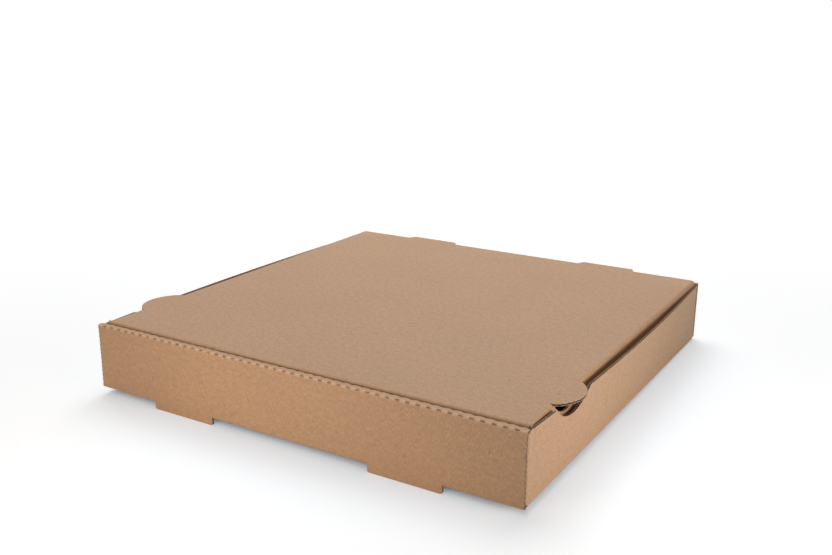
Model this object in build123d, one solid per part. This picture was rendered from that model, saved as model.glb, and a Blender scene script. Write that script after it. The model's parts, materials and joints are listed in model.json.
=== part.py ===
from build123d import *
import os
from math import asin, degrees, hypot, radians, sin, sqrt, tan

# A pizza box folded from one sheet of fine corrugated board, in millimetres.
# While it is built, the front wall's outer face is the plane Y = 0, the underside of the base is
# Z = 0 and X = 0 is the middle. The last lines move the origin to the bottom centre.

# The board: two liners on a waved medium, whose flutes run along X in the flat sheet
board = 1.6
crease_inner = 0.4
flap_gap = 0.3
liner = 0.25
flute_pitch = 3.2
flute_width = 2.7
flute_height = 0.95
flute_depth = 2.5

# The tray
box_width = 330.0
box_depth = 330.0
front_height = 47.4
side_height = 46.4
side_bow = 4.9
front_strip = 5.4
strip_crease_cut = 1.0
perforation_pitch = 6.9
perforation_length = 3.0
perforation_width = 0.5
corner_flap_length = 50.0
corner_flap_height = 45.3

# The feet, cut out of the base and left in the plane of the front wall
foot_centre = 87.6
foot_length = 52.0
foot_drop = 4.7
foot_round = 1.5
lock_tab_gap = 1.0
lock_tab_round = 1.2

# The lid, closed, measured at its hinge
lid_top_at_hinge = 49.5
lid_fall = 1.2
hinge_clearance = 0.05
lid_side_gap = 0.5
lid_front_gap = 0.7
side_fold_inner = 1.4
front_fold_inner = 0.8
fold_land = 0.2
side_flap_depth = 38.0
side_flap_taper = 12.0
side_flap_back_gap = 1.5
front_flap_depth = 35.0
front_flap_lean = 4.5
front_flap_inset = 12.0
flap_corner_round = 8.0

# The ears, left in the plane of the lid, and the notches below them
ear_from_front = 59.5
ear_radius = 24.0
ear_reach = 10.7
notch_radius = 32.0
notch_depth = 10.0
notch_lip_round = 3.0

# The tabs behind the hinge, cut out of the back wall and left in the plane of the lid
rear_tab_centre = 85.5
rear_tab_length = 50.0
rear_tab_slant = 3.0
rear_tab_reach = 6.4
rear_tab_round = 1.0
vent_gap = 0.6

# What follows from those sizes
half_width = box_width / 2
outer_bend = crease_inner + board
inner_half = half_width - board
bend_edge = half_width - outer_bend
flap_front = board + flap_gap
wall_start = flap_front + outer_bend
flap_back = box_depth - board - flap_gap
wall_end = flap_back - outer_bend
inner_panel_y = front_strip - board
hinge_y = box_depth - board / 2
hinge_z = lid_top_at_hinge - board / 2
back_height = hinge_z - board / 2 - hinge_clearance
lid_half = inner_half - lid_side_gap
side_fold_outer = side_fold_inner + board
lid_front = front_strip + lid_front_gap
fold_edge = lid_half - side_fold_outer
fold_tangent = (front_fold_inner + board / 2) * tan(radians(45 + front_flap_lean / 2))
fold_start = lid_front + board / 2 + fold_tangent + fold_land
lid_top = lid_top_at_hinge
lid_under = lid_top - board
lid_angle = degrees(asin(lid_fall / (hinge_y - lid_front)))
centre_y = (hinge_y + rear_tab_reach) / 2
notch_z = side_height - notch_depth + notch_radius
notch_half = sqrt(notch_radius**2 - (notch_radius - notch_depth) ** 2)
ear_half = sqrt(ear_radius**2 - (ear_radius - ear_reach) ** 2)
spare = 1.0


def block(x0, x1, y0, y1, z0, z1):
    """A box between two corners."""
    return Pos((x0 + x1) / 2, (y0 + y1) / 2, (z0 + z1) / 2) * Box(x1 - x0, y1 - y0, z1 - z0)


def across(section, half):
    """A section drawn in the YZ plane, carried from X = -half to X = +half."""
    return extrude(section, amount=half, both=True)


def ribbon(points, radius, half):
    """Board that follows a mid-line in the YZ plane, bent round each corner of the line."""
    section = trace(FilletPolyline(*points, radius=radius), line_width=board)
    return across(Plane.YZ * section, half)


def creased_ribbon(points, half):
    """Board that follows a mid-line in the YZ plane, folded flat and sharp at its corners."""
    return across(Plane.YZ * trace(Polyline(*points), line_width=board), half)


def quarter_bend(centre, inner, start_angle, length, plane):
    """A quarter of a ring of board about centre, carried along the plane's normal."""
    outer = Pos(*centre) * Circle(inner + board)
    hollow = Pos(*centre) * Circle(inner)
    reach = 2 * (inner + board)
    quadrant = Rot(0, 0, start_angle) * Rectangle(reach, reach, align=(Align.MIN, Align.MIN))
    return extrude(plane * ((outer - hollow) & (Pos(*centre) * quadrant)), amount=length)


def mirrored(solids):
    """Solids on the right, with their copies on the left."""
    return solids + [mirror(solid, about=Plane.YZ) for solid in solids]


def flute_cell(point, along, out, side):
    """The hollow between the medium and one liner: a triangle that runs into the board."""
    base = side * (board / 2 - liner)
    half = flute_width / 2
    hollow = Polygon((-half, base), (half, base), (0, base - side * flute_height), align=None)
    edge = Plane(origin=point, x_dir=along, z_dir=out)
    return extrude(edge * hollow, amount=flute_depth, both=True)


def flute_stations(length):
    """Where the hollows lie along a raw edge, with the liner that each one touches."""
    step = flute_pitch / 2
    first = liner + flute_width / 2
    count = int((length - 2 * first) / step) + 1
    return [(first + k * step, 1 - 2 * (k % 2)) for k in range(count)]


def edge_cells(start, along, out, length):
    """The hollows in a straight raw edge that faces out."""
    cells = []
    for place, side in flute_stations(length):
        point = Vector(start) + Vector(along) * place
        cells.append(flute_cell(point, along, out, side))
    return cells


def wall_bow(y):
    """How far the wall's top stands out at y, on an arc through both of its ends."""
    half_chord = (wall_end - wall_start) / 2
    arc = (half_chord**2 + side_bow**2) / (2 * side_bow)
    from_middle = y - (wall_start + wall_end) / 2
    return sqrt(arc**2 - from_middle**2) - arc + side_bow


def rim_cells():
    """The hollows down the wall's top edge past the notch, which follow its bow and its lean."""
    cells = []
    notch_end = ear_from_front + notch_half + notch_lip_round + flute_pitch
    for place, side in flute_stations(wall_end - wall_start):
        y = wall_start + place
        if y < notch_end:
            continue
        bow = wall_bow(y)
        lean = bow / (side_height - outer_bend)
        point = (half_width - board / 2 + bow, y, side_height)
        cells.append(flute_cell(point, (0, 1, 0), (lean, 0, 1), side))
    return cells


def side_wall():
    """The right wall: bent up from the base, straight at its foot and bowed out at its top."""
    middle = (wall_start + wall_end) / 2
    foot = Pos(half_width - board / 2, middle) * Rectangle(board, wall_end - wall_start)
    rims = []
    for x in (half_width, inner_half):
        rims.append(ThreePointArc((x, wall_start), (x + side_bow, middle), (x, wall_end)))
    ends = [Line(rims[0] @ 0, rims[1] @ 0), Line(rims[0] @ 1, rims[1] @ 1)]
    rim = make_face(rims + ends)
    panel = loft([Pos(0, 0, outer_bend) * foot, Pos(0, 0, side_height) * rim], ruled=True)
    panel -= notch()
    lips = [edge for edge in panel.edges() if is_notch_lip(edge)]
    panel = fillet(lips, notch_lip_round) - rim_cells()
    bend = quarter_bend((bend_edge, outer_bend), crease_inner, -90, wall_end - wall_start, Plane.XZ)
    return panel + Pos(0, wall_end, 0) * bend


def is_notch_lip(edge):
    """True for the two short edges where the notch leaves the wall's top."""
    middle = edge.center()
    from_notch = abs(middle.Y - ear_from_front)
    at_top = abs(middle.Z - side_height) < liner
    return at_top and abs(from_notch - notch_half) < liner and edge.length < 2 * board


def notch():
    """The rounded dip in the wall's top edge under the lid's ear."""
    dip = Pos(ear_from_front, notch_z) * Circle(notch_radius)
    below = Pos(ear_from_front, side_height) * Rectangle(
        2 * notch_half, notch_depth, align=(Align.CENTER, Align.MAX)
    )
    above = Pos(ear_from_front, side_height) * Rectangle(
        2 * (notch_half + notch_depth), notch_depth, align=(Align.CENTER, Align.MIN)
    )
    return across(Plane.YZ * ((dip & below) + above), box_width)


def corner_flap(fold_y, outward):
    """A side wall's end, folded inward between or behind the end panels."""
    top = corner_flap_height - outer_bend
    turn = -90 if outward < 0 else 0
    centre = (bend_edge, fold_y - outward * outer_bend)
    bend = quarter_bend(centre, crease_inner, turn, top, Plane.XY.offset(outer_bend))
    y_pair = sorted((fold_y, fold_y - outward * board))
    flap = block(bend_edge - corner_flap_length, bend_edge, *y_pair, outer_bend, corner_flap_height)
    return bend + flap


def foot_outline(length, drop, rounding):
    """A tab that hangs from Z = 0, with its two lower corners rounded."""
    plate = Pos(0, (outer_bend - drop) / 2) * Rectangle(length, drop + outer_bend)
    lower = plate.vertices().group_by(Axis.Y)[0]
    return fillet(lower, rounding)


def perforations():
    """The rows of short cuts down both creases of the front's narrow top strip."""
    cuts = []
    for crease_y, turn in ((board / 2, -1), (inner_panel_y + board / 2, 1)):
        cut_y = crease_y - turn * strip_crease_cut / 2
        cut_z = front_height - (board + strip_crease_cut) / 2
        cut = Box(perforation_length, perforation_width, 2 * board)
        cut = Pos(0, cut_y, cut_z) * Rot(-45 * turn, 0, 0) * cut
        count = int((box_width - perforation_length) / perforation_pitch)
        for k in range(count):
            cuts.append(Pos((k - (count - 1) / 2) * perforation_pitch, 0, 0) * cut)
    return cuts


def tray_end_cells():
    """The hollows in the raw ends of the front wall, the back wall and the feet."""
    mid = board / 2
    up = (0, 0, 1)
    right = (1, 0, 0)
    front_rise = front_height - 2 * outer_bend
    back_rise = back_height - outer_bend
    cells = edge_cells((half_width, mid, outer_bend), up, right, front_rise)
    cells += edge_cells((half_width, box_depth - mid, outer_bend), up, right, back_rise)
    foot_low = foot_round - foot_drop
    for sign in (-1, 1):
        foot_end = foot_centre + sign * foot_length / 2
        cells += edge_cells((foot_end, mid, foot_low), up, (sign, 0, 0), -foot_low)
    return mirrored(cells)


def make_tray():
    """Base, back wall, side walls, corner flaps and the roll-over front, as one folded solid."""
    mid = board / 2
    strip_z = front_height - mid
    inner_panel_mid = inner_panel_y + mid
    sheet = ribbon(
        [(hinge_y, back_height), (hinge_y, mid), (mid, mid), (mid, outer_bend + spare)],
        crease_inner + mid,
        bend_edge,
    )
    front = ribbon(
        [(outer_bend + spare, mid), (mid, mid), (mid, front_height / 2)],
        crease_inner + mid,
        half_width,
    )
    strip_line = [
        (mid, front_height / 2),
        (mid, strip_z - strip_crease_cut),
        (mid + strip_crease_cut, strip_z),
        (inner_panel_mid - strip_crease_cut, strip_z),
    ]
    panel_line = [
        (inner_panel_mid, strip_z - strip_crease_cut),
        (inner_panel_mid, board + flap_gap),
    ]
    strip = creased_ribbon(strip_line, half_width)
    roll = creased_ribbon(strip_line + panel_line, inner_half - flap_gap)
    back = block(-half_width, half_width, box_depth - board, box_depth, outer_bend, back_height)
    body = sheet + front + roll + strip + back
    for sign in (-1, 1):
        x = sign * foot_centre
        half = foot_length / 2
        body -= block(x - half, x + half, -spare, board + foot_drop, -spare, outer_bend)
        foot = Plane.XZ * foot_outline(foot_length, foot_drop, foot_round)
        body += Pos(x, board, 0) * extrude(foot, amount=board)
        lock_length = foot_length - 2 * lock_tab_gap
        lock = Plane.XZ * foot_outline(lock_length, 0, lock_tab_round)
        body += Pos(x, inner_panel_y + board, 0) * extrude(lock, amount=board)
        vent_half = rear_tab_length / 2 + vent_gap
        vent_floor = hinge_z - hypot(rear_tab_reach, mid) - vent_gap
        vent = block(-vent_half, vent_half, box_depth - 2 * board, box_depth + spare, vent_floor, hinge_z)
        body -= Pos(sign * rear_tab_centre, 0, 0) * vent
    body = body - perforations() - tray_end_cells()
    for piece in mirrored([side_wall(), corner_flap(flap_front, -1), corner_flap(flap_back, 1)]):
        body += piece
    return body


def ear_outline(reach, radius):
    """A round ear: the part of a circle that stands past a straight crease at X = 0."""
    centre = reach - radius
    disc = Pos(centre, 0) * Circle(radius)
    keep = Rectangle(reach, 2 * radius, align=(Align.MIN, Align.CENTER))
    return disc & keep


def side_flap():
    """The lid's right tuck flap with its fold, its tapered ends and the hole the ear leaves."""
    fold_z = lid_top - side_fold_outer
    flap_foot = lid_top - side_flap_depth
    bend = quarter_bend((fold_edge, fold_z), side_fold_inner, 0, hinge_y - fold_start, Plane.XZ)
    bend = Pos(0, hinge_y, 0) * bend
    flap = block(lid_half - board, lid_half, fold_start, hinge_y, flap_foot, fold_z)
    blank = bend + flap
    flap_end = flap_back - board - side_flap_back_gap
    bend_end = box_depth - board - flap_gap
    over_wall = side_height + flap_gap
    outline = Polygon(
        (fold_start, lid_top + spare),
        (bend_end, lid_top + spare),
        (bend_end, over_wall),
        (flap_end, over_wall),
        (flap_end - side_flap_taper / 2, flap_foot),
        (fold_start + side_flap_taper, flap_foot),
        (fold_start, fold_z),
        align=None,
    )
    lower = outline.vertices().group_by(Axis.Y)[0]
    outline = fillet(lower, flap_corner_round)
    blank = blank & across(Plane.YZ * outline, box_width)
    window = Rot(0, 0, -90) * ear_outline(ear_reach, ear_radius)
    return blank - across(Plane.YZ * Pos(ear_from_front, lid_top) * window, box_width)


def front_flap_outline(half):
    """The lid's front tuck flap seen from the front, narrower at its foot."""
    foot = lid_top - front_flap_depth - spare
    shoulder = lid_top - side_fold_outer
    outline = Polygon(
        (-half, lid_top + spare),
        (-half, shoulder),
        (front_flap_inset - half, foot),
        (half - front_flap_inset, foot),
        (half, shoulder),
        (half, lid_top + spare),
        align=None,
    )
    outline = fillet(outline.vertices().group_by(Axis.Y)[0], flap_corner_round)
    return extrude(Plane.XZ * outline, amount=box_depth, both=True)


def make_lid():
    """Top panel, rounded folds, tuck flaps, ears and rear tabs, as one folded solid."""
    mid = board / 2
    panel_z = lid_top - mid
    front_mid = lid_front + mid
    lean = front_flap_depth * sin(radians(front_flap_lean))
    line = [(fold_start, panel_z), (front_mid, panel_z), (front_mid + lean, lid_top - front_flap_depth)]
    nose_half = lid_half - flap_gap
    nose = ribbon(line, front_fold_inner + mid, nose_half) & front_flap_outline(nose_half)
    panel = block(-fold_edge, fold_edge, fold_start, hinge_y, lid_under, lid_top)
    knuckle = Pos(0, hinge_y, hinge_z) * Rot(0, 90, 0) * Cylinder(mid, 2 * fold_edge)
    body = panel + nose + knuckle
    for sign in (-1, 1):
        root = Pos(sign * rear_tab_centre, hinge_y)
        half = rear_tab_length / 2
        tip = half - rear_tab_slant
        shape = Polygon((-half, 0), (half, 0), (tip, rear_tab_reach), (-tip, rear_tab_reach), align=None)
        shape = fillet(shape.vertices().group_by(Axis.Y)[-1], rear_tab_round)
        body += extrude(Plane.XY.offset(lid_under) * root * shape, amount=board)
    root = Rectangle(side_fold_outer, 2 * ear_half, align=(Align.MAX, Align.CENTER))
    ear = Pos(lid_half, ear_from_front) * (ear_outline(ear_reach, ear_radius) + root)
    ear = extrude(Plane.XY.offset(lid_under) * ear, amount=board)
    for piece in mirrored([side_flap(), ear]):
        body += piece
    pivot = Axis((0, hinge_y, hinge_z), (1, 0, 0))
    return body.rotate(pivot, lid_angle)


home = Pos(0, -centre_y, foot_drop)
os.makedirs("parts", exist_ok=True)
export_step(home * make_tray(), "parts/tray.step")
export_step(home * make_lid(), "parts/lid.step")
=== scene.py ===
import json
import math

import bmesh
import bpy
import numpy as np
from mathutils import Matrix, Vector


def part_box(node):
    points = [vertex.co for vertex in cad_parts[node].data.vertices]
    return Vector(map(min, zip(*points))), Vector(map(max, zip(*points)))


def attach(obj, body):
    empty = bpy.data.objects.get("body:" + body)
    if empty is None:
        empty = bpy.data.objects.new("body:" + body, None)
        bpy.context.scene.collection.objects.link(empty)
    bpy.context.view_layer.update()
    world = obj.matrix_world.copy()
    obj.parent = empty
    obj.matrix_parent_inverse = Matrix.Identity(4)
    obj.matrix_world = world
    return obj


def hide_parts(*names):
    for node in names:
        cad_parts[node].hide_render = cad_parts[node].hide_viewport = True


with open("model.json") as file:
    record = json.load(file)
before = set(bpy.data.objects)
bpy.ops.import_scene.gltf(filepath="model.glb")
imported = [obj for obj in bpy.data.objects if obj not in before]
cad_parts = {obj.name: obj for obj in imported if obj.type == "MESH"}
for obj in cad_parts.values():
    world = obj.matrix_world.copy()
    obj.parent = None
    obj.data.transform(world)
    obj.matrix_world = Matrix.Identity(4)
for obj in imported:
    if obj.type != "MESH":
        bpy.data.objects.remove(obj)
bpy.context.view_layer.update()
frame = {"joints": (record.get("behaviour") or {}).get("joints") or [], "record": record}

bl_info = {
    "name": "Kraft pizza box",
    "version": (1, 0, 0),
    "blender": (4, 5, 0),
    "location": "3D View > Sidebar > Pizza Box",
    "description": "Folds a corrugated kraft pizza box from its board and sets its studio",
    "category": "Object",
}

MM = 0.001
FOOT_DROP = frame["record"]["mounts"][0]["pos_m"][2]
HINGE = frame["joints"][0]["pos_m"]

# Which way round each face of the board lies, as the slots of its materials
OUTSIDE, INSIDE, RAW_EDGE = 0, 1, 2

# Stations of the mesh: to a flute, round a bend or a small corner, round the lid's front fold,
# across a tab and a plain panel, down the front flap and how they crowd, and along an outline
FLUTE_STEPS = 8
BEND_ROWS = 7
FOLD_ROWS = 11
TAB_COLUMNS = 5
PANEL_ROWS = 9
FLAP_ROWS = 120
CROWD = 1.3
OUTLINE_STEPS = 4000

# Small sizes of the mesh: half of the slope at a cut's rim, half of a land's top, the room beside
# a lock tab, below the lid's crease and before a bend's end, and the weld's limits
CUT_RIM = 0.06 * MM
LAND_EDGE = 0.6 * MM
LOCK_ROOM = 1.0 * MM
HINGE_ROOM = 0.05 * MM
BEND_ROOM = 0.3 * MM
WELD = 0.002 * MM
THIN = 0.001 * MM
SHARP = math.radians(35.0)

# The camera, measured from the box's corners and folds
CAMERA_PLACE = (0.3555, -0.6017, 0.2731)
CAMERA_AZIMUTH = math.radians(30.984)
CAMERA_ELEVATION = math.radians(16.124)
CAMERA_ROLL = math.radians(0.463)
CAMERA_LENS = 41.70
SENSOR_WIDTH = 36.0

# The liner's grain in cells to a metre, and its specks: cells to a metre, colour and strength, how
# far each spreads in its cell, and the share of the cells that hold one
CLOUDS, BLOTCHES, FIBRES, WARMTH = 14.0, 260.0, 1500.0, 800.0
SPECKS = (420.0, "Dark", 0.55), (640.0, "Pale", 0.4)
SPECK_ENDS = 0.10, 0.26
SPECK_SHARE = 0.10

# Each lamp's place, the point that it faces, its side and its spread in degrees
TOP_LIGHT = (-0.5, 0.5, 1.4), (0.0, 0.0, 0.0), 1.4, 180.0
BACK_LIGHT = (-0.1, 0.9, 1.0), (0.0, 0.0, 0.0), 0.9, 180.0
FRONT_LIGHT = (-0.03, -0.62, 0.085), (-0.03, -0.17, 0.03), 0.16, 88.0
SIDE_LIGHT = (0.55, -0.16, 0.10), (0.17, -0.08, 0.03), 0.2, 130.0

# The floor: its paper, its fade to white, and its lift with a painted cool tint and painted shade
# near the box
WHITE = (1.0, 1.0, 1.0)
PAPER = (0.79, 0.80, 0.805)
# A cool tint painted into the lift near the box, which cancels the warm light that the board throws
# on the floor
LIFT_TINT = (0.90, 1.0, 1.08)
TINT_ENDS = 0.20, 0.28
FADE_ENDS = 0.26, 0.56
SHADE_LEVEL = 0.2
SHADE_ENDS = -7.0 * MM, 1.0 * MM


def length(name, description, millimetres):
    """A length that a user can set, with its default in millimetres."""
    return bpy.props.FloatProperty(
        name=name, description=description, default=millimetres * MM, unit="LENGTH", precision=5)


def colour(name, description, default):
    """A colour that a user can set."""
    return bpy.props.FloatVectorProperty(
        name=name, description=description, default=default, subtype="COLOR", size=3,
        min=0.0, max=1.0)


def number(name, description, default):
    """A plain number that a user can set."""
    return bpy.props.FloatProperty(name=name, description=description, default=default)


class BoardSizes(bpy.types.PropertyGroup):
    """Sizes of the corrugated board and of the marks that cutting and folding leave in it."""

    board: length("Board", "Thickness of the board", 1.6)
    liner: length("Liner", "Thickness of each liner with the fuzz of its cut", 0.22)
    medium: length("Medium", "Thickness of the waved sheet with the fuzz of its cut", 0.22)
    flute_pitch: length("Flute pitch", "From one flute to the next", 3.2)
    flute_depth: length("Flute depth", "How far the raw edges are open", 7.0)
    groove: length("Groove", "Depth of the groove in an edge along the flutes", 0.3)
    crease: length("Crease", "Middle radius of a plain crease", 1.2)
    serration: length("Serration", "Depth of the toothed cut at the front wall's ends", 0.45)
    perforation_pitch: length("Perforation pitch", "From one cut to the next in a crease", 6.9)
    perforation_length: length("Perforation length", "Length of each cut", 3.0)
    perforation_width: length("Perforation width", "Width of each cut", 0.26)
    perforation_depth: length("Perforation depth", "Depth of each cut", 0.6)
    land_lift: length("Land lift", "Height of the board between the cuts", 0.25)


class TraySizes(bpy.types.PropertyGroup):
    """Sizes of the tray."""

    width: length("Width", "Outer width of the box", 330.0)
    depth: length("Depth", "Outer depth of the box", 330.0)
    front_height: length("Front height", "Height of the front wall", 47.4)
    side_height: length("Side height", "Height of the side walls", 46.4)
    side_bow: length("Side bow", "How far the side walls bulge at their tops", 4.9)
    strip: length("Strip", "Depth of the strip on top of the front wall", 5.4)
    strip_crease: length("Strip crease", "Middle radius of the strip's creases", 1.0)
    flap_gap: length("Flap gap", "Room between folded layers", 0.3)
    corner_flap_length: length("Corner flap length", "Length of the side walls' folded ends", 50.0)
    corner_flap_height: length("Corner flap height", "Height of the side walls' folded ends", 45.3)
    foot_centre: length("Foot centre", "From the middle to each foot", 87.6)
    foot_length: length("Foot length", "Length of each foot", 52.0)
    foot_round: length("Foot round", "Radius of the feet's corners", 1.5)
    notch_radius: length("Notch radius", "Radius of the dip below each ear", 32.0)
    notch_depth: length("Notch depth", "Depth of the dip below each ear", 10.0)
    notch_lip: length("Notch lip", "Radius of the dip's lips", 3.0)
    vent_gap: length("Vent gap", "Room round the rear tabs", 0.6)


class LidSizes(bpy.types.PropertyGroup):
    """Sizes of the lid."""

    top: length("Top", "Height of the lid at its hinge", 49.5)
    fall: length("Fall", "How far the lid slopes down to the front", 1.2)
    side_gap: length("Side gap", "Room between the lid's flaps and the walls", 0.5)
    front_gap: length("Front gap", "Room between the lid and the front wall's strip", 0.7)
    side_fold: length("Side fold", "Middle radius of the side folds", 2.2)
    front_fold: length("Front fold", "Middle radius of the front fold", 1.6)
    fold_land: length("Fold land", "Flat board behind the front fold", 0.2)
    side_flap_depth: length("Side flap depth", "Depth of the side flaps", 38.0)
    side_flap_taper: length("Side flap taper", "How far a side flap narrows at its front end", 12.0)
    side_flap_gap: length("Side flap gap", "Room behind a side flap", 1.5)
    front_flap_depth: length("Front flap depth", "Depth of the front flap", 35.0)
    front_flap_inset: length("Front flap inset", "How far the front flap narrows at each end", 12.0)
    flap_round: length("Flap round", "Radius of the flaps' corners", 8.0)
    ear_place: length("Ear place", "From the front wall to the ears' middle", 59.5)
    ear_radius: length("Ear radius", "Radius of the ears", 24.0)
    ear_reach: length("Ear reach", "How far the ears stand out", 10.7)
    tab_centre: length("Tab centre", "From the middle to each rear tab", 85.5)
    tab_length: length("Tab length", "Length of each rear tab", 50.0)
    tab_slant: length("Tab slant", "How far each end of a rear tab slants", 3.0)
    tab_reach: length("Tab reach", "How far the rear tabs stand out", 6.4)
    tab_round: length("Tab round", "Radius of the rear tabs' corners", 1.0)
    front_flap_lean: bpy.props.FloatProperty(
        name="Front flap lean", description="How far the front flap leans back under the lid",
        default=math.radians(4.6), subtype="ANGLE")


class KraftColours(bpy.types.PropertyGroup):
    """Colours of the kraft board, with painted shade in cut edges and painted highlight on crease
    lands.
    """

    face: colour("Face", "The liner outside", (0.500, 0.290, 0.155))
    inside: colour("Inside", "The liner inside", (0.470, 0.270, 0.145))
    # The edge colour is a dark painted shade for the hollows of the cut edges
    edge: colour("Edge", "The hollows in the cut edges", (0.100, 0.040, 0.015))
    # A pale colour: cut rims that a cut has roughened, and a painted highlight on the raised lands
    # of the creases
    worn: colour("Worn", "Board that a crease or a cut has roughened", (0.800, 0.560, 0.365))
    dark_speck: colour("Dark speck", "The darkest fibres", (0.200, 0.100, 0.050))
    pale_speck: colour("Pale speck", "The palest fibres", (0.720, 0.520, 0.340))
    roughness: number("Roughness", "Roughness of the liners", 0.62)


class StudioSizes(bpy.types.PropertyGroup):
    """Sizes and levels of the floor and the lamps."""

    floor_reach: length("Floor reach", "Half of the floor's side", 5000.0)
    top_power: number("Top light", "Power of the wide soft light above", 15.5)
    back_power: number("Back light", "Power of the soft light behind the box", 2.4)
    front_power: number("Front light", "Power of the light before the front wall", 0.31)
    side_power: number("Side light", "Power of the light beside the right wall", 0.60)
    room_level: number("Room light", "Level of the even light from all round", 0.08)
    floor_lift: number("Floor lift", "How far the floor is lifted to white", 0.44)
    front_tint: colour("Front tint", "The front light, warmed by the table", (1.0, 0.91, 0.83))


class Fold:
    """A folded line in a plane, made of runs and bends, with board on both of its sides.

    The heading stays on a run and turns evenly on a bend. A point is the last joint plus the chord
    of what follows, ds * sinc(turn / 2), along the mean heading. The board's outside lies at w > 0,
    to the left of the heading where side is 1 and to its right where side is -1.
    """

    def __init__(self, start, heading, steps, side):
        lengths = np.array([step[0] for step in steps])
        turns = np.array([step[1] for step in steps])
        self.starts = np.concatenate(([0.0], np.cumsum(lengths)))
        self.headings = heading + np.concatenate(([0.0], np.cumsum(turns)))
        self.bends = turns / lengths
        chords = lengths * np.sinc(turns / (2 * np.pi))
        means = self.headings[:-1] + turns / 2
        hops = chords[:, None] * np.stack((np.cos(means), np.sin(means)), -1)
        self.joints = np.array(start) + np.concatenate((np.zeros((1, 2)), np.cumsum(hops, 0)))
        self.side = side

    def at(self, s, w):
        """The two coordinates of the points at length s along the line and w out of it."""
        piece = np.clip(np.searchsorted(self.starts, s, side="right") - 1, 0, len(self.bends) - 1)
        past = s - self.starts[piece]
        turn = self.bends[piece] * past
        chord = past * np.sinc(turn / (2 * np.pi))
        mean = self.headings[piece] + turn / 2
        end = self.headings[piece] + turn
        first = self.joints[piece, 0] + chord * np.cos(mean) - self.side * w * np.sin(end)
        second = self.joints[piece, 1] + chord * np.sin(mean) + self.side * w * np.cos(end)
        return first, second


def run(distance):
    """A straight step of a fold."""
    return distance, 0.0


def bend(radius, degrees):
    """A bend of a fold: its length is its radius times its turn."""
    turn = math.radians(degrees)
    return radius * abs(turn), turn


def rounded_outline(corners, radius):
    """Points along a line through corners, each rounded by an arc tangent to both of its runs."""
    corners = np.array(corners)
    legs = np.diff(corners, axis=0)
    headings = np.unwrap(np.arctan2(legs[:, 1], legs[:, 0]))
    turns = np.diff(headings)
    tangents = np.concatenate(([0.0], radius * np.tan(np.abs(turns) / 2), [0.0]))
    runs = np.hypot(legs[:, 0], legs[:, 1]) - tangents[:-1] - tangents[1:]
    steps = [run(runs[0])]
    for turn, distance in zip(turns, runs[1:]):
        steps += [bend(radius, math.degrees(turn)), run(distance)]
    line = Fold(corners[0], headings[0], steps, 1)
    return line.at(np.linspace(0.0, line.starts[-1], OUTLINE_STEPS), 0.0)


def together(*parts):
    """Arrays brought to one shape and stacked in a last axis."""
    return np.stack(np.broadcast_arrays(*parts), -1)


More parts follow.
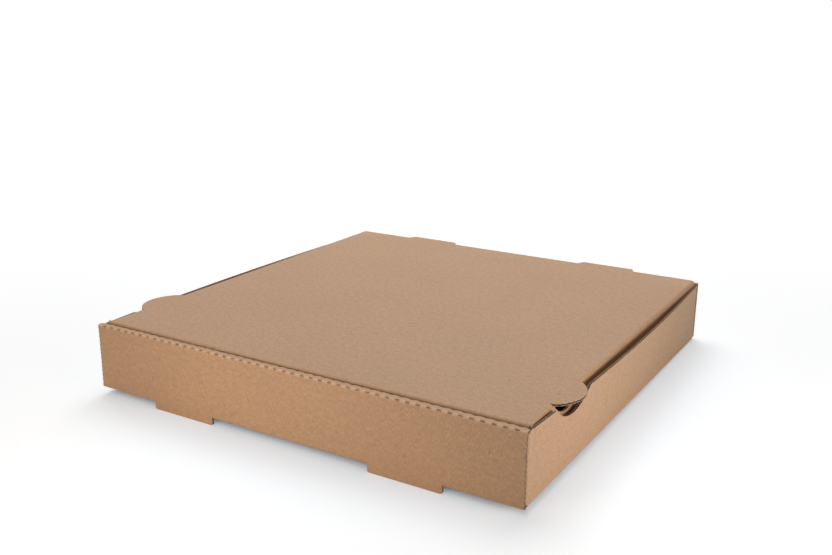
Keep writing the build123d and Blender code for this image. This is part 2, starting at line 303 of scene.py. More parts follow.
class Sheet:
    """Board gathered panel by panel as arrays, and then made into one mesh object."""

    def __init__(self, board):
        self.board = board
        self.points, self.quads, self.uvs, self.worn, self.slots = [], [], [], [], []
        self.count = 0

    def surface(self, points, outward, uv, slot, worn=0.0):
        """A grid of points as quads that face outward, by their normals' dot product with it."""
        rows, columns = points.shape[:2]
        index = np.arange(rows * columns).reshape(rows, columns) + self.count
        quads = np.stack((index[:-1, :-1], index[:-1, 1:], index[1:, 1:], index[1:, :-1]), -1)
        normals = np.cross(points[1:, 1:] - points[:-1, :-1], points[1:, :-1] - points[:-1, 1:])
        if np.sum(normals * outward[:-1, :-1]) < 0:
            quads = quads[..., ::-1]
        self.points.append(points.reshape(-1, 3))
        self.quads.append(quads.reshape(-1, 4))
        self.uvs.append(uv.reshape(-1, 2))
        self.worn.append(np.broadcast_to(worn, (rows, columns)).ravel())
        self.slots.append(np.full((rows - 1) * (columns - 1), slot))
        self.count += rows * columns

    def raw_edge(self, place, u, s, step, flutes):
        """A cut edge: two liners and, between them, the medium's cosine wave with its hollows.

        Each row of the grid is a height across the board and a depth into it. Where flutes is None,
        the edge runs along the flutes and shows a shallow groove between the liners.
        """
        half = self.board.board / 2
        within = half - self.board.liner
        closed = np.ones(len(u))
        closed[[0, -1]] = 0.0
        if flutes is None:
            heights = [half, within, within, -within, -within, -half]
            depths = np.array([0, 0, 1, 1, 0, 0]) * self.board.groove
        else:
            thick = self.board.medium / 2
            wave = (within - thick) * np.cos(2 * np.pi * flutes / self.board.flute_pitch)
            over, under = wave + thick, wave - thick
            heights = [half, within, within, over, over, under, under, -within, -within, -half]
            depths = np.array([0, 0, 1, 1, 0, 0, 1, 1, 0, 0]) * self.board.flute_depth
        w = np.stack([np.broadcast_to(height, len(u)) for height in heights])
        depth = np.outer(depths, closed)
        points = place(u + step[0] * depth, s + step[1] * depth, w)
        middle = np.zeros(len(u))
        outward = place(u, s, middle) - place(u + step[0] * MM, s + step[1] * MM, middle)
        uv = together(w, u + s)
        # 1 at the rims, made pale by the edge material, and 0 in the hollows, which keep its dark
        # painted shade
        worn = (depth == 0) * 1.0
        self.surface(points, np.broadcast_to(outward, points.shape), uv, RAW_EDGE, worn)

    def panel(self, place, u, s, cuts="", flutes_along="u", relief=0.0, worn=0.0):
        """A piece of board over a grid of u and s, with raw edges on the sides named in cuts."""
        u, s = np.broadcast_arrays(u, s)
        half = self.board.board / 2
        outer = place(u, s, half + relief)
        inner = place(u, s, np.full(u.shape, -half))
        uv = np.stack((u, s) if flutes_along == "u" else (s, u), -1)
        self.surface(outer, outer - inner, uv, OUTSIDE, worn)
        self.surface(inner, inner - outer, uv, INSIDE)
        every = slice(None)
        sides = {"left": (every, 0, (1, 0)), "right": (every, -1, (-1, 0)),
                 "start": (0, every, (0, 1)), "end": (-1, every, (0, -1))}
        for name in cuts.split():
            rows, columns, step = sides[name]
            edge_u, edge_s = u[rows, columns], s[rows, columns]
            across_flutes = (step[0] != 0) == (flutes_along == "u")
            counted = edge_s if flutes_along == "u" else edge_u
            self.raw_edge(place, edge_u, edge_s, step, counted if across_flutes else None)

    def build(self, name, body, materials, turn=0.0):
        """Turns the board about the hinge and makes it an object that rides on body."""
        points = np.concatenate(self.points)
        hinge = np.array((0.0, hinge_y(), hinge_z()))
        cos, sin = math.cos(turn), math.sin(turn)
        rotation = np.array(((1.0, 0.0, 0.0), (0.0, cos, -sin), (0.0, sin, cos)))
        points = (points - hinge) @ rotation.T + np.array(HINGE)
        quads = np.concatenate(self.quads)
        mesh = bpy.data.meshes.new(name)
        mesh.vertices.add(len(points))
        mesh.vertices.foreach_set("co", points.ravel())
        mesh.loops.add(quads.size)
        mesh.loops.foreach_set("vertex_index", quads.ravel())
        mesh.polygons.add(len(quads))
        mesh.polygons.foreach_set("loop_start", np.arange(0, quads.size, 4))
        mesh.polygons.foreach_set("material_index", np.concatenate(self.slots))
        mesh.update(calc_edges=True)
        uv = mesh.uv_layers.new(name="board")
        uv.uv.foreach_set("vector", np.concatenate(self.uvs)[quads.ravel()].ravel())
        worn = mesh.attributes.new("worn", "FLOAT", "CORNER")
        worn.data.foreach_set("value", np.concatenate(self.worn)[quads.ravel()])
        weld(mesh)
        for material in materials:
            mesh.materials.append(material)
        piece = place_in_scene(name, mesh)
        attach(piece, body)
        return piece


def weld(mesh):
    """Joins points that meet, drops faces with no area, and smooths all but the sharp edges."""
    cells = bmesh.new()
    cells.from_mesh(mesh)
    bmesh.ops.remove_doubles(cells, verts=cells.verts, dist=WELD)
    bmesh.ops.dissolve_degenerate(cells, edges=cells.edges, dist=THIN)
    cells.to_mesh(mesh)
    cells.free()
    mesh.polygons.foreach_set("use_smooth", np.ones(len(mesh.polygons), dtype=bool))
    mesh.set_sharp_from_angle(angle=SHARP)


def place_in_scene(name, data):
    """A new object in the scene, at the origin."""
    item = bpy.data.objects.new(name, data)
    bpy.context.scene.collection.objects.link(item)
    return item


def tray_sizes():
    """The tray's sizes, as the user set them."""
    return bpy.context.scene.tray_sizes


def lid_sizes():
    """The lid's sizes, as the user set them."""
    return bpy.context.scene.lid_sizes


def board_sizes():
    """The board's sizes, as the user set them."""
    return bpy.context.scene.board_sizes


def hinge_y():
    """The hinge's place behind the front wall's outer face."""
    return tray_sizes().depth - board_sizes().board / 2


def hinge_z():
    """The hinge's height above the underside of the base."""
    return lid_sizes().top - board_sizes().board / 2


def fine(start, end):
    """Stations close enough to follow each flute."""
    count = max(2, int(abs(end - start) / board_sizes().flute_pitch * FLUTE_STEPS) + 1)
    return np.linspace(start, end, count)


def bend_rows(end):
    """Rows round a bend or a small corner, from 0 to its end."""
    return np.linspace(0.0, end, BEND_ROWS)


def both_ends(centre, distance):
    """The near and the far end of a foot or a tab, from the box's middle."""
    return centre - distance / 2, centre + distance / 2


def both_sides(*stops):
    """Stops on the right, with their mirror images on the left before them."""
    return [-stop for stop in reversed(stops)] + list(stops)


def bands(sheet, place, rows, stops, cuts):
    """Panels side by side between stops: cuts names the raw edges of each, or is None for a gap."""
    for left, right, names in zip(stops[:-1], stops[1:], cuts):
        if names is not None:
            sheet.panel(place, *np.meshgrid((left, right), rows), names)


def across_box(fold):
    """Places a fold in the YZ plane and carries it along X."""
    def place(u, s, w):
        y, z = fold.at(s, w)
        return together(u, y, z)
    return place


def up_corner(fold, sign):
    """Places a fold in the XY plane and carries it up Z, on the right or the left."""
    def place(u, s, w):
        x, y = fold.at(u, w)
        return together(sign * x, y, s)
    return place


def flat_at(height):
    """Level board at a height."""
    def place(u, s, w):
        return together(u, s, height + w)
    return place


def front_fold():
    """From the base's front edge up the wall, over the strip and down the inner panel."""
    board, tray = board_sizes(), tray_sizes()
    mid, crease, radius = board.board / 2, board.crease, tray.strip_crease
    outer = mid + crease
    strip_z = tray.front_height - mid
    wall = strip_z - radius - outer
    top = tray.strip - board.board - 2 * radius
    inner = strip_z - radius - board.board - tray.flap_gap
    steps = [bend(crease, -90), run(wall), bend(radius, -90), run(top), bend(radius, -90),
             run(inner)]
    return Fold((outer, mid), math.pi, steps, 1)


def crease_rows(centre, radius):
    """Rows round a perforated crease, close together at the rims of its cuts."""
    half = board_sizes().perforation_width / 2
    arc = radius * math.pi / 4
    inner = np.array([0.0, half - CUT_RIM, half + CUT_RIM, 0.65 * arc, 0.85 * arc, arc])
    return centre + np.concatenate((-inner[:0:-1], inner))


def perforation_columns(left, right):
    """Columns at the ends of the cuts and in the middle of the lands between them."""
    board = board_sizes()
    count = int((tray_sizes().width - board.perforation_length) / board.perforation_pitch)
    centres = (np.arange(count) - (count - 1) / 2) * board.perforation_pitch
    half, land = board.perforation_length / 2, board.perforation_pitch / 2
    offsets = [-half - CUT_RIM, -half + CUT_RIM, half - CUT_RIM, half + CUT_RIM]
    offsets += [land - LAND_EDGE, land + LAND_EDGE]
    columns = (centres[:, None] + np.array(offsets)).ravel()
    columns = columns[(columns > left) & (columns < right)]
    return np.unique(np.concatenate(([left], columns, [right])))


def perforation_relief(u, s, centre, radius):
    """Cuts that sink into the crease, with lands between them that stand up as a raised cosine."""
    board = board_sizes()
    pitch = board.perforation_pitch
    last = int((tray_sizes().width - board.perforation_length) / pitch) // 2
    beside = np.abs(u - pitch * np.clip(np.round(u / pitch), -last, last))
    in_cut = beside < board.perforation_length / 2
    arc = radius * math.pi / 4
    away = np.abs(s - centre)
    # The lands' raised cosine is also the mask of the painted highlight on them
    land = np.where(away < arc, 0.5 + 0.5 * np.cos(np.pi * away / arc), 0.0) * ~in_cut
    sunk = in_cut & (away < board.perforation_width / 2)
    return board.land_lift * land - board.perforation_depth * sunk, land


def serrated(s, reach):
    """The toothed cut: scallops one flute apart, as the size of a sine."""
    board = board_sizes()
    return reach - board.serration * np.abs(np.sin(np.pi * s / board.flute_pitch))


def front_wall(sheet):
    """The roll-over front: lower bends and feet, wall, perforated strip and inner panel."""
    board, tray = board_sizes(), tray_sizes()
    fold = front_fold()
    place = across_box(fold)
    radius = tray.strip_crease
    half = tray.width / 2
    bend_edge = half - board.board / 2 - board.crease
    inner_half = half - board.board - tray.flap_gap
    bend_end, wall_end, top_start, top_end, panel_start, panel_end = fold.starts[1:]
    foot_in, foot_out = both_ends(tray.foot_centre, tray.foot_length)
    stops = both_sides(foot_in, foot_out, bend_edge, half)
    bands(sheet, place, bend_rows(bend_end), stops,
          ("left start", "right", None, "left right", None, "left", "right start"))
    zone = wall_end - 2 * radius
    for left, right, cuts in ((-half, -bend_edge, "left"), (-bend_edge, bend_edge, ""),
                              (bend_edge, half, "right")):
        u, s = np.meshgrid(np.linspace(left, right, 3), fine(bend_end, zone))
        if cuts:
            edge = serrated(s, half) * (1 if right > 0 else -1)
            u = np.where(np.abs(u) >= half, edge, u)
        sheet.panel(place, u, s, cuts)
    creases = (wall_end + top_start) / 2, (top_end + panel_start) / 2
    outer_rows = np.concatenate((
        np.linspace(zone, wall_end, 6)[:-1], crease_rows(creases[0], radius), [top_end]))
    inner_rows = np.concatenate((crease_rows(creases[1], radius), [panel_start + 2 * radius]))
    for left, right, rows, crease, cuts in ((-half, -inner_half, outer_rows, 0, "left end"),
                                            (-inner_half, inner_half, outer_rows, 0, ""),
                                            (inner_half, half, outer_rows, 0, "right end"),
                                            (-inner_half, inner_half, inner_rows, 1, "left right")):
        u, s = np.meshgrid(perforation_columns(left, right), rows)
        # The lands carry a painted highlight, by the same mask as their lift
        relief, worn = perforation_relief(u, s, creases[crease], radius)
        sheet.panel(place, u, s, cuts, relief=relief, worn=worn)
    lock = tray.foot_length / 2 - LOCK_ROOM
    stops = both_sides(tray.foot_centre - lock, tray.foot_centre + lock, inner_half)
    lower = fine(panel_start + 2 * radius, panel_end)
    tip = fine(panel_end, panel_end + board.board + tray.flap_gap)
    for index, cuts in enumerate(("end left", "", "end", "", "end right")):
        ends = stops[index:index + 2]
        bands(sheet, place, lower, ends, (cuts,))
        if not cuts:
            bands(sheet, place, tip, ends, ("left right end",))


def rounded_half(distance, half, radius):
    """Half of a tab's width at a distance from its tip, drawn in by the arcs of its corners."""
    into = np.clip(radius - distance, 0.0, radius)
    return half - radius + np.sqrt(radius**2 - into**2)


def tab_pair(sheet, place, centre, half, s, cuts):
    """A tab on the left and one on the right, by the half width of each row."""
    for sign in (-1, 1):
        u = sign * centre + half[:, None] * np.linspace(-1.0, 1.0, TAB_COLUMNS)
        sheet.panel(place, u, s[:, None], cuts)


def feet(sheet):
    """The two tabs that hang from the front wall's plane."""
    board, tray = board_sizes(), tray_sizes()
    mid = board.board / 2
    outer = mid + board.crease
    fold = Fold((mid, -FOOT_DROP), math.pi / 2, [run(FOOT_DROP + outer)], 1)
    lower = front_fold().starts[1] - outer - FOOT_DROP
    rows = fine(0.0, FOOT_DROP + outer)
    rows = np.unique(np.concatenate((rows, bend_rows(tray.foot_round))))
    half = rounded_half(rows, tray.foot_length / 2, tray.foot_round)

    def place(u, s, w):
        return across_box(fold)(u, s - lower, w)

    tab_pair(sheet, place, tray.foot_centre, half, rows + lower, "left right start")


def base(sheet):
    """The flat bottom, with the two windows that the feet were cut from."""
    board, tray = board_sizes(), tray_sizes()
    mid = board.board / 2
    outer = mid + board.crease
    edge = tray.width / 2 - outer
    wall_start = board.board + tray.flap_gap + outer
    wall_end = tray.depth - wall_start
    window = board.board + FOOT_DROP
    foot_in, foot_out = both_ends(tray.foot_centre, tray.foot_length)
    stops = both_sides(foot_in, foot_out, edge)

    def place(u, s, w):
        return together(u, s, mid - w)

    bands(sheet, place, (outer, wall_start), stops,
          ("left right", None, "left right", None, "left right"))
    bands(sheet, place, (wall_start, window), stops, ("right", None, "left right", None, "left"))
    bands(sheet, place, (window, wall_end), stops, ("", "start", "", "start", ""))
    bands(sheet, place, (wall_end, tray.depth - outer), (-edge, edge), ("left right",))


def back_wall(sheet):
    """The back wall, with the two open vents that the rear tabs were cut from."""
    board, tray, lid = board_sizes(), tray_sizes(), lid_sizes()
    mid = board.board / 2
    outer = mid + board.crease
    back_height = lid.top - board.board - HINGE_ROOM
    steps = [bend(board.crease, 90), run(back_height - outer)]
    fold = Fold((tray.depth - outer, mid), 0.0, steps, -1)
    place = across_box(fold)
    half = tray.width / 2
    edge = half - outer
    bend_end, top = fold.starts[1:]
    vent_floor = bend_end + hinge_z() - math.hypot(lid.tab_reach, mid) - tray.vent_gap - outer
    tab_in, tab_out = both_ends(lid.tab_centre, lid.tab_length)
    vent_in, vent_out = tab_in - tray.vent_gap, tab_out + tray.vent_gap
    bands(sheet, place, bend_rows(bend_end), (-edge, edge), ("left right",))
    bands(sheet, place, fine(bend_end, vent_floor), both_sides(vent_in, vent_out, edge, half),
          ("left start", "", "end", "", "end", "", "right start"))
    bands(sheet, place, fine(vent_floor, top), both_sides(vent_in, vent_out, half),
          ("left right end", None, "left right end", None, "left right end"))


def wall_rim(v):
    """The side wall's top edge: level, with a round dip and an arc at each of its lips."""
    tray, lid = tray_sizes(), lid_sizes()
    radius, lip = tray.notch_radius, tray.notch_lip
    centre_z = tray.side_height - tray.notch_depth + radius
    away = np.abs(v - lid.ear_place)
    lip_z = tray.side_height - lip
    lip_y = math.sqrt((radius + lip) ** 2 - (centre_z - lip_z) ** 2)
    dip = centre_z - np.sqrt(np.clip(radius**2 - away**2, 0.0, None))
    crown = lip_z + np.sqrt(np.clip(lip**2 - (away - lip_y) ** 2, 0.0, None))
    meet = lip_y * radius / (radius + lip)
    return np.select([away < meet, away < lip_y], [dip, crown], tray.side_height)


def bow(v, start, end):
    """How far the wall's top stands out: an arc through both ends."""
    rise = tray_sizes().side_bow
    half = (end - start) / 2
    arc = (half**2 + rise**2) / (2 * rise)
    return np.sqrt(arc**2 - (v - start - half) ** 2) - arc + rise


def side_walls(sheet):
    """Both side walls, which bow outward to their tops, and their folded ends."""
    board, tray = board_sizes(), tray_sizes()
    mid, crease = board.board / 2, board.crease
    outer = mid + crease
    edge = tray.width / 2 - outer
    start = board.board + tray.flap_gap + outer
    end = tray.depth - start
    fold = Fold((edge, mid), 0.0, [bend(crease, 90), run(tray.side_height - outer)], -1)
    bend_end, top = fold.starts[1:]
    corner_folds = [Fold((tray.width / 2 - mid, y), turn * math.pi / 2,
                         [bend(crease, turn * 90), run(tray.corner_flap_length)], -turn)
                    for y, turn in ((end, 1), (start, -1))]
    level = bend_end + tray.corner_flap_height - outer
    v = fine(start, end)
    shares = np.concatenate((np.linspace(bend_end, level, PANEL_ROWS), [top])) - bend_end
    shares /= top - bend_end
    rim = wall_rim(v) - outer
    for sign in (-1, 1):
        def place(u, s, w, sign=sign):
            x, z = fold.at(s, w)
            share = np.clip((z - outer) / (tray.side_height - outer), 0.0, None)
            return together(sign * (x + bow(u, start, end) * share), u, z)
        sheet.panel(place, v[None, :], bend_rows(bend_end)[:, None], "", "s")
        s = bend_end + shares[:, None] * rim
        sheet.panel(place, v[None, :], s, "end", "s")
        cap = s[-2:]
        for column, step in ((0, (1, 0)), (-1, (-1, 0))):
            sheet.raw_edge(place, v[[column, column]], cap[:, column], step, None)
        for line in corner_folds:
            columns = np.concatenate((bend_rows(line.starts[1]), fine(*line.starts[1:])[1:]))
            u, s = np.meshgrid(columns, (outer, tray.corner_flap_height))
            sheet.panel(up_corner(line, sign), u, s, "start end right", "s")


def lid_top(sheet):
    """The top panel with its rounded rear edge and the two rear tabs."""
    lid = lid_sizes()
    mid = board_sizes().board / 2
    place = flat_at(hinge_z())
    edge = fold_edge()
    rows = np.linspace(fold_start(), hinge_y(), PANEL_ROWS)[:, None]
    sheet.panel(place, np.linspace(-edge, edge, PANEL_ROWS), rows)
    phi = np.linspace(math.pi / 2, -math.pi / 2, PANEL_ROWS)[:, None]
    tab_in, tab_out = both_ends(lid.tab_centre, lid.tab_length)
    for left, right in ((-edge, -tab_out), (-tab_in, tab_in), (tab_out, edge)):
        x = np.array([left, right])
        points = together(x, hinge_y() + mid * np.cos(phi), hinge_z() + mid * np.sin(phi))
        centre = together(x, hinge_y() - mid, hinge_z() + 0 * phi)
        sheet.surface(points, points - centre, together(x, hinge_y() + mid * phi), OUTSIDE)
    rows = np.concatenate((fine(0.0, lid.tab_reach), lid.tab_reach - bend_rows(lid.tab_round)))
    rows = np.unique(rows)
    half = lid.tab_length / 2 - lid.tab_slant * rows / lid.tab_reach
    half = rounded_half(lid.tab_reach - rows, half, lid.tab_round)
    tab_pair(sheet, place, lid.tab_centre, half, hinge_y() + rows, "left right end")


def fold_edge():
    """Where the lid's side folds begin, from the middle."""
    tray, lid, board = tray_sizes(), lid_sizes(), board_sizes()
    return tray.width / 2 - board.board - lid.side_gap - lid.side_fold - board.board / 2


def fold_tangent():
    """From the front fold's corner to where its bend begins."""
    lid = lid_sizes()
    return lid.front_fold * math.tan(math.pi / 4 + lid.front_flap_lean / 2)


def fold_start():
    """Where the lid's front fold begins, behind the front wall's outer face."""
    tray, lid = tray_sizes(), lid_sizes()
    return tray.strip + lid.front_gap + board_sizes().board / 2 + fold_tangent() + lid.fold_land


def front_flap(sheet):
    """The lid's rounded front fold and the flap behind the front wall, narrower at its foot."""
    board, tray, lid = board_sizes(), tray_sizes(), lid_sizes()
    mid = board.board / 2
    lean = math.degrees(lid.front_flap_lean)
    line = (lid.front_flap_depth - mid) / math.cos(lid.front_flap_lean) - fold_tangent()
    steps = [run(lid.fold_land), bend(lid.front_fold, 90 + lean), run(line)]
    fold = Fold((fold_start(), hinge_z()), math.pi, steps, -1)
    place = across_box(fold)
    half = tray.width / 2 - board.board - lid.side_gap - tray.flap_gap
    edge = fold_edge()
    shoulder, foot = fold.starts[2], fold.starts[3]
    outline = rounded_outline([(shoulder, half), (foot, half - lid.front_flap_inset), (foot, 0.0)],
                              lid.flap_round)
    top_rows = np.concatenate(([0.0], np.linspace(*fold.starts[1:3], FOLD_ROWS)))
    bands(sheet, place, top_rows, both_sides(edge, half), ("left start", "", "right start"))
    low_rows = foot - (foot - shoulder) * (1 - np.linspace(0.0, 1.0, FLAP_ROWS)) ** CROWD
    reach = np.interp(low_rows, outline[0], outline[1])[:, None]
    u = reach * np.linspace(-1.0, 1.0, PANEL_ROWS)
    sheet.panel(place, u, low_rows[:, None], "left right end")


def side_flaps(sheet):
    """The lid's side folds and tuck flaps, with the round holes that the ears leave."""
    board, tray, lid = board_sizes(), tray_sizes(), lid_sizes()
    mid, radius = board.board / 2, lid.side_fold
    outer = radius + mid
    edge = fold_edge()
    fold_z = hinge_z() - radius
    foot_z = lid.top - lid.side_flap_depth
    fold = Fold((edge, hinge_z()), 0.0, [bend(radius, -90), run(fold_z - foot_z)], 1)
    arc = fold.starts[1]
    flap_back = tray.depth - board.board - tray.flap_gap
    flap_end = flap_back - board.board - lid.side_flap_gap
    over_wall = tray.side_height + tray.flap_gap
    corners = [(fold_start(), fold_z), (fold_start() + lid.side_flap_taper, foot_z),
               (flap_end - lid.side_flap_taper / 2, foot_z), (flap_end, over_wall)]
    outline = rounded_outline(corners, lid.flap_round)
    chord = math.sqrt(lid.ear_radius**2 - (lid.ear_radius - lid.ear_reach) ** 2)
    spans = ((fold_start(), lid.ear_place - chord, "left end"),
             (lid.ear_place - chord, lid.ear_place + chord, "start end"),
             (lid.ear_place + chord, flap_back, "right end"))
    for sign in (-1, 1):
        def place(u, s, w, sign=sign):
            x, z = fold.at(s, w)
            return together(sign * x, u, z)
        for start, end, cuts in spans:
            v = fine(start, end)
            low = arc + fold_z - np.interp(v, outline[0], outline[1], right=over_wall)
            if "start" in cuts:
                drop = np.sqrt(lid.ear_radius**2 - (v - lid.ear_place) ** 2)
                drop = drop - lid.ear_radius + lid.ear_reach
                turned = radius * np.arccos(1 - np.clip(drop, 0.0, outer) / outer)
                high = np.where(drop < outer, turned, arc + drop - outer)
                s = high + (low - high) * np.linspace(0.0, 1.0, 12)[:, None]
            else:
                top_rows = np.linspace(0.0, arc - BEND_ROOM, 10)[:, None] + 0 * v
                deep = top_rows[-1] + (low - top_rows[-1]) * np.linspace(0.0, 1.0, 7)[1:, None]
                s = np.concatenate((top_rows, deep))
            sheet.panel(place, v[None, :], s, cuts, "s")
        ear(sheet, sign, edge, chord)


def ear(sheet, sign, edge, chord):
    """An ear: level board out to a round edge."""
    tray, lid, board = tray_sizes(), lid_sizes(), board_sizes()
    rows = fine(lid.ear_place - chord, lid.ear_place + chord)
    lid_half = tray.width / 2 - board.board - lid.side_gap
    reach = lid_half + lid.ear_reach - lid.ear_radius
    reach = reach + np.sqrt(lid.ear_radius**2 - (rows - lid.ear_place) ** 2)
    u = sign * (edge + (reach[:, None] - edge) * np.linspace(0.0, 1.0, 8))
    if sign < 0:
        u = u[:, ::-1]
    cuts = "right start end" if sign > 0 else "left start end"
    sheet.panel(flat_at(hinge_z()), u, rows[:, None], cuts)


class Tree:
    """Short calls that put nodes into a node tree."""

    def __init__(self, tree):
        self.tree = tree

    def add(self, kind, **settings):
        """A new node with its settings."""
        node = self.tree.nodes.new(kind)
        for key, value in settings.items():
            setattr(node, key, value)
        return node

    def join(self, value, socket):
        """Links an output to a socket, or sets the socket to a plain value."""
        if isinstance(value, bpy.types.NodeSocket):
            self.tree.links.new(value, socket)
        else:
            socket.default_value = value

    def put(self, node, **values):
        """Joins values to a node's inputs by name, with _ for each space."""
        for key, value in values.items():
            self.join(value, node.inputs[key.replace("_", " ")])
        return node

    def feed(self, node, *values):
        """Joins values to a node's first inputs, and gives its first output."""
        for socket, value in zip(node.inputs, values):
            self.join(value, socket)
        return node.outputs[0]

    def math(self, operation, first, second=0.0, clamp=False):
        """One operation on one or two values."""
        node = self.add("ShaderNodeMath", operation=operation, use_clamp=clamp)
        return self.feed(node, first, second)

    def mix(self, factor, first, second):
        """A colour between two others."""
        node = self.add("ShaderNodeMix", data_type="RGBA")
        for index, value in ((0, factor), (6, first), (7, second)):
            self.join(value, node.inputs[index])
        return node.outputs[2]

    def ramp(self, value, low, high, start=0.0, end=1.0, curve="LINEAR"):
        """From start to end as the value goes from low to high."""
        node = self.add("ShaderNodeMapRange", clamp=True, interpolation_type=curve)
        return self.feed(node, value, low, high, start, end)

    def noise(self, vector, scale, detail=2.0, roughness=0.5):
        """Noise over a place, with this many cells to a metre."""
        node = self.add("ShaderNodeTexNoise")
        self.put(node, Vector=vector, Scale=scale, Detail=detail, Roughness=roughness)
        return node.outputs["Fac"]

    def stretch(self, vector, scale):
        """A place scaled along each axis."""
        node = self.add("ShaderNodeMapping")
        self.put(node, Vector=vector, Scale=scale)
        return node.outputs[0]

    def seen(self):
        """1 where the eye, a reflection or clear glass looks, and 0 for the light that spreads."""
        rays = self.add("ShaderNodeLightPath")
        seen = self.math("ADD", rays.outputs["Is Camera Ray"], rays.outputs["Is Glossy Ray"])
        return self.math("ADD", seen, rays.outputs["Is Transmission Ray"], clamp=True)


def rgba(value):
    """A colour with full opacity, as sockets take it."""
    return (*value[:3], 1.0)


def kraft_group():
    """Kraft liner: clouds, fibres that lie across the flutes, and dark and pale specks."""
    found = bpy.data.node_groups.get("kraft_liner")
    if found:
        return found
    group = bpy.data.node_groups.new("kraft_liner", "ShaderNodeTree")
    group.interface.new_socket("Vector", in_out="INPUT", socket_type="NodeSocketVector")
    for name in ("Face", "Dark", "Pale"):
        group.interface.new_socket(name, in_out="INPUT", socket_type="NodeSocketColor")
    group.interface.new_socket("Color", in_out="OUTPUT", socket_type="NodeSocketColor")
    group.interface.new_socket("Height", in_out="OUTPUT", socket_type="NodeSocketFloat")
    tree = Tree(group)
    inside = tree.add("NodeGroupInput")
    outside = tree.add("NodeGroupOutput")
    where = inside.outputs["Vector"]
    clouds = tree.noise(where, CLOUDS, 3.0)
    blotch = tree.noise(where, BLOTCHES, 3.0, 0.6)
    along = tree.stretch(where, (1.0, 0.35, 1.0))
    fibre = tree.noise(along, FIBRES, 3.0, 0.65)
    level = tree.ramp(clouds, 0.3, 0.7, 0.965, 1.03)
    level = tree.math("MULTIPLY", level, tree.ramp(blotch, 0.25, 0.75, 0.90, 1.09))
    level = tree.math("MULTIPLY", level, tree.ramp(fibre, 0.25, 0.75, 0.74, 1.25))
    warmth = tree.ramp(tree.noise(where, WARMTH), 0.3, 0.7)
    warm = tree.mix(warmth, rgba((0.98, 1.0, 1.04)), rgba((1.02, 1.0, 0.95)))
    tint = tree.add("ShaderNodeVectorMath", operation="SCALE")
    tree.join(level, tint.inputs["Scale"])
    warmed = tree.add("ShaderNodeVectorMath", operation="MULTIPLY")
    shade = tree.feed(warmed, tree.feed(tint, inside.outputs["Face"]), warm)
    for scale, socket, strength in SPECKS:
        cells = tree.add("ShaderNodeTexVoronoi")
        tree.put(cells, Vector=along, Scale=scale, Randomness=1.0)
        near = tree.ramp(cells.outputs["Distance"], *SPECK_ENDS, 1.0, 0.0)
        pick = tree.feed(tree.add("ShaderNodeSeparateColor"), cells.outputs["Color"])
        mask = tree.math("MULTIPLY", near, tree.math("LESS_THAN", pick, SPECK_SHARE))
        mask = tree.math("MULTIPLY", mask, strength)
        shade = tree.mix(mask, shade, inside.outputs[socket])
    rough = tree.math("MULTIPLY", fibre, 0.6)
    height = tree.math("ADD", rough, tree.math("MULTIPLY", blotch, 0.4))
    tree.join(shade, outside.inputs["Color"])
    tree.join(height, outside.inputs["Height"])
    return group


def kraft_material(name, face, wear_and_highlight_share, rim_power):
    """Kraft board, paler by mask ** rim_power: rough cut rims, and a painted highlight on crease
    lands.
    """
    colours = bpy.context.scene.kraft_colours
    material = bpy.data.materials.new(name)
    material.use_nodes = True
    tree = Tree(material.node_tree)
    shader = material.node_tree.nodes["Principled BSDF"]
    place = tree.add("ShaderNodeUVMap", uv_map="board").outputs["UV"]
    liner = tree.add("ShaderNodeGroup", node_tree=kraft_group())
    tree.put(liner, Vector=place, Face=rgba(face), Dark=rgba(colours.dark_speck),
             Pale=rgba(colours.pale_speck))
    # The mask: pale rough rims of the cuts, and a painted highlight on the lands of the creases
    worn = tree.add("ShaderNodeAttribute", attribute_name="worn").outputs["Fac"]
    share = tree.math("MULTIPLY", tree.math("POWER", worn, rim_power), wear_and_highlight_share)
    shade = tree.mix(share, liner.outputs["Color"], rgba(colours.worn))
    bump = tree.add("ShaderNodeBump")
    tree.put(bump, Strength=0.25, Distance=0.1 * MM, Height=liner.outputs["Height"])
    tree.put(shader, Base_Color=shade, Roughness=colours.roughness, Normal=bump.outputs[0])
    return material


def kraft_materials(name):
    """The materials of a piece of board: its outside, its inside and its raw edges."""
    colours = bpy.context.scene.kraft_colours
    # Outside: a painted highlight on crease lands. Edge: its dark colour is a painted shade in the
    # hollows, pale at the rims
    return [kraft_material(f"{name}_outside", colours.face, 0.65, 1.0),
            kraft_material(f"{name}_inside", colours.inside, 0.0, 1.0),
            kraft_material(f"{name}_edge", colours.edge, 0.5, 30.0)]


class BOX_OT_tray(bpy.types.Operator):
    """Folds the tray from its board"""

    bl_idname = "pizza_box.tray"
    bl_label = "Tray"

    def execute(self, context):
        sheet = Sheet(board_sizes())
        front_wall(sheet)
        feet(sheet)
        base(sheet)
        back_wall(sheet)
        side_walls(sheet)
        piece = sheet.build("tray_folded_board", "tray", kraft_materials("tray"))
        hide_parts("tray")
        return {"FINISHED"}


class BOX_OT_lid(bpy.types.Operator):
    """Folds the lid from its board"""

    bl_idname = "pizza_box.lid"
    bl_label = "Lid"

    def execute(self, context):
        sheet = Sheet(board_sizes())
        lid_top(sheet)
        front_flap(sheet)
        side_flaps(sheet)
        lid, tray = lid_sizes(), tray_sizes()
        slope = math.asin(lid.fall / (hinge_y() - tray.strip - lid.front_gap))
        piece = sheet.build("lid_folded_board", "lid", kraft_materials("lid"), slope)
        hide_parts("lid")
        return {"FINISHED"}


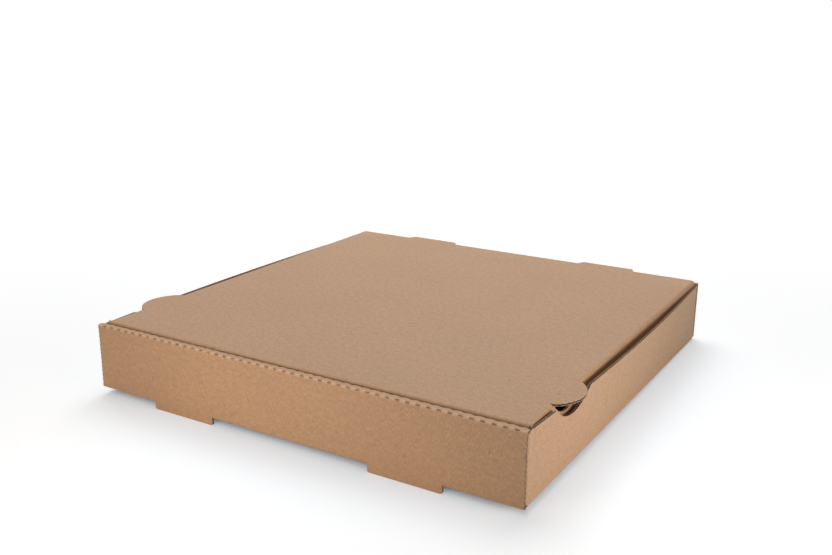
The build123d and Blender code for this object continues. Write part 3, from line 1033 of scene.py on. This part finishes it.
def floor_material(level):
    """Pale floor that keeps the shadow and fades to the white of the room.

    Its lift falls off under the box by max(|x|, |y|), measured from the box's edges: a painted
    shadow.
    """
    material = bpy.data.materials.new("studio_floor")
    material.use_nodes = True
    material.node_tree.nodes.clear()
    tree = Tree(material.node_tree)
    out = tree.add("ShaderNodeOutputMaterial")
    place = tree.add("ShaderNodeTexCoord").outputs["Object"]
    seen = tree.seen()
    distance = tree.add("ShaderNodeVectorMath", operation="LENGTH")
    tree.join(place, distance.inputs[0])
    far = tree.ramp(distance.outputs["Value"], *FADE_ENDS, curve="SMOOTHSTEP")
    beyond = tree.ramp(distance.outputs["Value"], *TINT_ENDS)
    paper = tree.add("ShaderNodeBsdfDiffuse")
    tree.put(paper, Color=rgba(PAPER))
    apart = tree.add("ShaderNodeSeparateXYZ")
    tree.join(place, apart.inputs[0])
    reach = tree.math("MAXIMUM", tree.math("ABSOLUTE", apart.outputs[0]),
                      tree.math("ABSOLUTE", apart.outputs[1]))
    # A painted shadow under the box: the lift falls to SHADE_LEVEL inside its footprint
    shade_ends = [tray_sizes().width / 2 + end for end in SHADE_ENDS]
    shade = tree.ramp(reach, *shade_ends, SHADE_LEVEL, 1.0)
    strength = tree.math("MULTIPLY", seen, tree.math("MULTIPLY", shade, level))
    # The painted cool tint near the box, white beyond
    tint = tree.mix(beyond, rgba(LIFT_TINT), rgba(WHITE))
    lift = tree.add("ShaderNodeEmission")
    tree.put(lift, Color=tint, Strength=strength)
    near = tree.feed(tree.add("ShaderNodeAddShader"), paper.outputs[0], lift.outputs[0])
    white = tree.add("ShaderNodeEmission").outputs[0]
    away = tree.math("MULTIPLY", far, seen)
    blend = tree.feed(tree.add("ShaderNodeMixShader"), away, near, white)
    tree.join(blend, out.inputs["Surface"])
    return material


def floor(reach, lift):
    """A flat floor that touches the tips of the feet and the rear edge of the base."""
    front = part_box("tray")[0].y
    rear = HINGE[1]
    slope = FOOT_DROP / (rear - front)
    corners = [(x, y, (y - front) * slope) for x, y in
               ((-reach, -reach), (reach, -reach), (reach, reach), (-reach, reach))]
    mesh = bpy.data.meshes.new("floor")
    mesh.from_pydata(corners, [], [(0, 1, 2, 3)])
    mesh.materials.append(floor_material(lift))
    place_in_scene("floor", mesh)


def lamp(name, place, target, size, spread, power, tint=WHITE):
    """A soft square light at a place, turned to its target, with its spread in degrees."""
    data = bpy.data.lights.new(name, "AREA")
    data.shape = "SQUARE"
    data.size = size
    data.energy = power
    data.color = tint
    data.spread = math.radians(spread)
    light = place_in_scene(name, data)
    light.location = place
    light.rotation_euler = (Vector(target) - Vector(place)).to_track_quat("-Z", "Y").to_euler()
    light.visible_camera = False


def room(level):
    """White to the eye and in reflections, and an even soft light on the box."""
    world = bpy.data.worlds.new("room")
    bpy.context.scene.world = world
    world.use_nodes = True
    tree = Tree(world.node_tree)
    strength = tree.ramp(tree.seen(), 0.0, 1.0, level, 1.0)
    tree.put(world.node_tree.nodes["Background"], Color=rgba(WHITE), Strength=strength)


def camera():
    """The camera at the place and angle of the photograph, turned by its roll."""
    a, e, r = CAMERA_AZIMUTH, CAMERA_ELEVATION, CAMERA_ROLL
    right = Vector((math.cos(a), math.sin(a), 0.0))
    back = Vector((math.sin(a) * math.cos(e), -math.cos(a) * math.cos(e), math.sin(e)))
    up = back.cross(right)
    across = math.cos(r) * right + math.sin(r) * up
    above = math.cos(r) * up - math.sin(r) * right
    data = bpy.data.cameras.new("camera")
    data.lens = CAMERA_LENS
    data.sensor_width = SENSOR_WIDTH
    data.sensor_fit = "HORIZONTAL"
    eye = place_in_scene("camera", data)
    turn = Matrix((across, above, back)).transposed()
    eye.matrix_world = Matrix.Translation(CAMERA_PLACE) @ turn.to_4x4()
    bpy.context.scene.camera = eye


class BOX_OT_stage(bpy.types.Operator):
    """Sets the floor, the soft lights, the room and the camera"""

    bl_idname = "pizza_box.stage"
    bl_label = "Stage"

    def execute(self, context):
        sizes = context.scene.studio_sizes
        floor(sizes.floor_reach, sizes.floor_lift)
        lamp("top_light", *TOP_LIGHT, sizes.top_power)
        lamp("back_light", *BACK_LIGHT, sizes.back_power)
        lamp("front_light", *FRONT_LIGHT, sizes.front_power, sizes.front_tint)
        lamp("side_light", *SIDE_LIGHT, sizes.side_power)
        room(sizes.room_level)
        camera()
        context.scene.view_settings.view_transform = "Standard"
        return {"FINISHED"}


class BOX_PT_panel(bpy.types.Panel):
    """Lists the pieces and the stage"""

    bl_label = "Pizza Box"
    bl_idname = "BOX_PT_panel"
    bl_space_type = "VIEW_3D"
    bl_region_type = "UI"
    bl_category = "Pizza Box"

    def draw(self, context):
        for step in STEPS:
            self.layout.operator(step.bl_idname)


STEPS = (BOX_OT_tray, BOX_OT_lid, BOX_OT_stage)
GROUPS = {
    "board_sizes": BoardSizes,
    "tray_sizes": TraySizes,
    "lid_sizes": LidSizes,
    "kraft_colours": KraftColours,
    "studio_sizes": StudioSizes,
}
CLASSES = (*GROUPS.values(), *STEPS, BOX_PT_panel)


def register():
    """Registers the classes and hangs the sizes on the scene."""
    for item in CLASSES:
        bpy.utils.register_class(item)
    for name, group in GROUPS.items():
        setattr(bpy.types.Scene, name, bpy.props.PointerProperty(type=group))


def unregister():
    """Takes away what register adds."""
    for name in GROUPS:
        delattr(bpy.types.Scene, name)
    for item in reversed(CLASSES):
        bpy.utils.unregister_class(item)


def main():
    """Builds the box and its stage."""
    register()
    bpy.ops.pizza_box.tray()
    bpy.ops.pizza_box.lid()
    bpy.ops.pizza_box.stage()


if __name__ == "__main__":
    main()
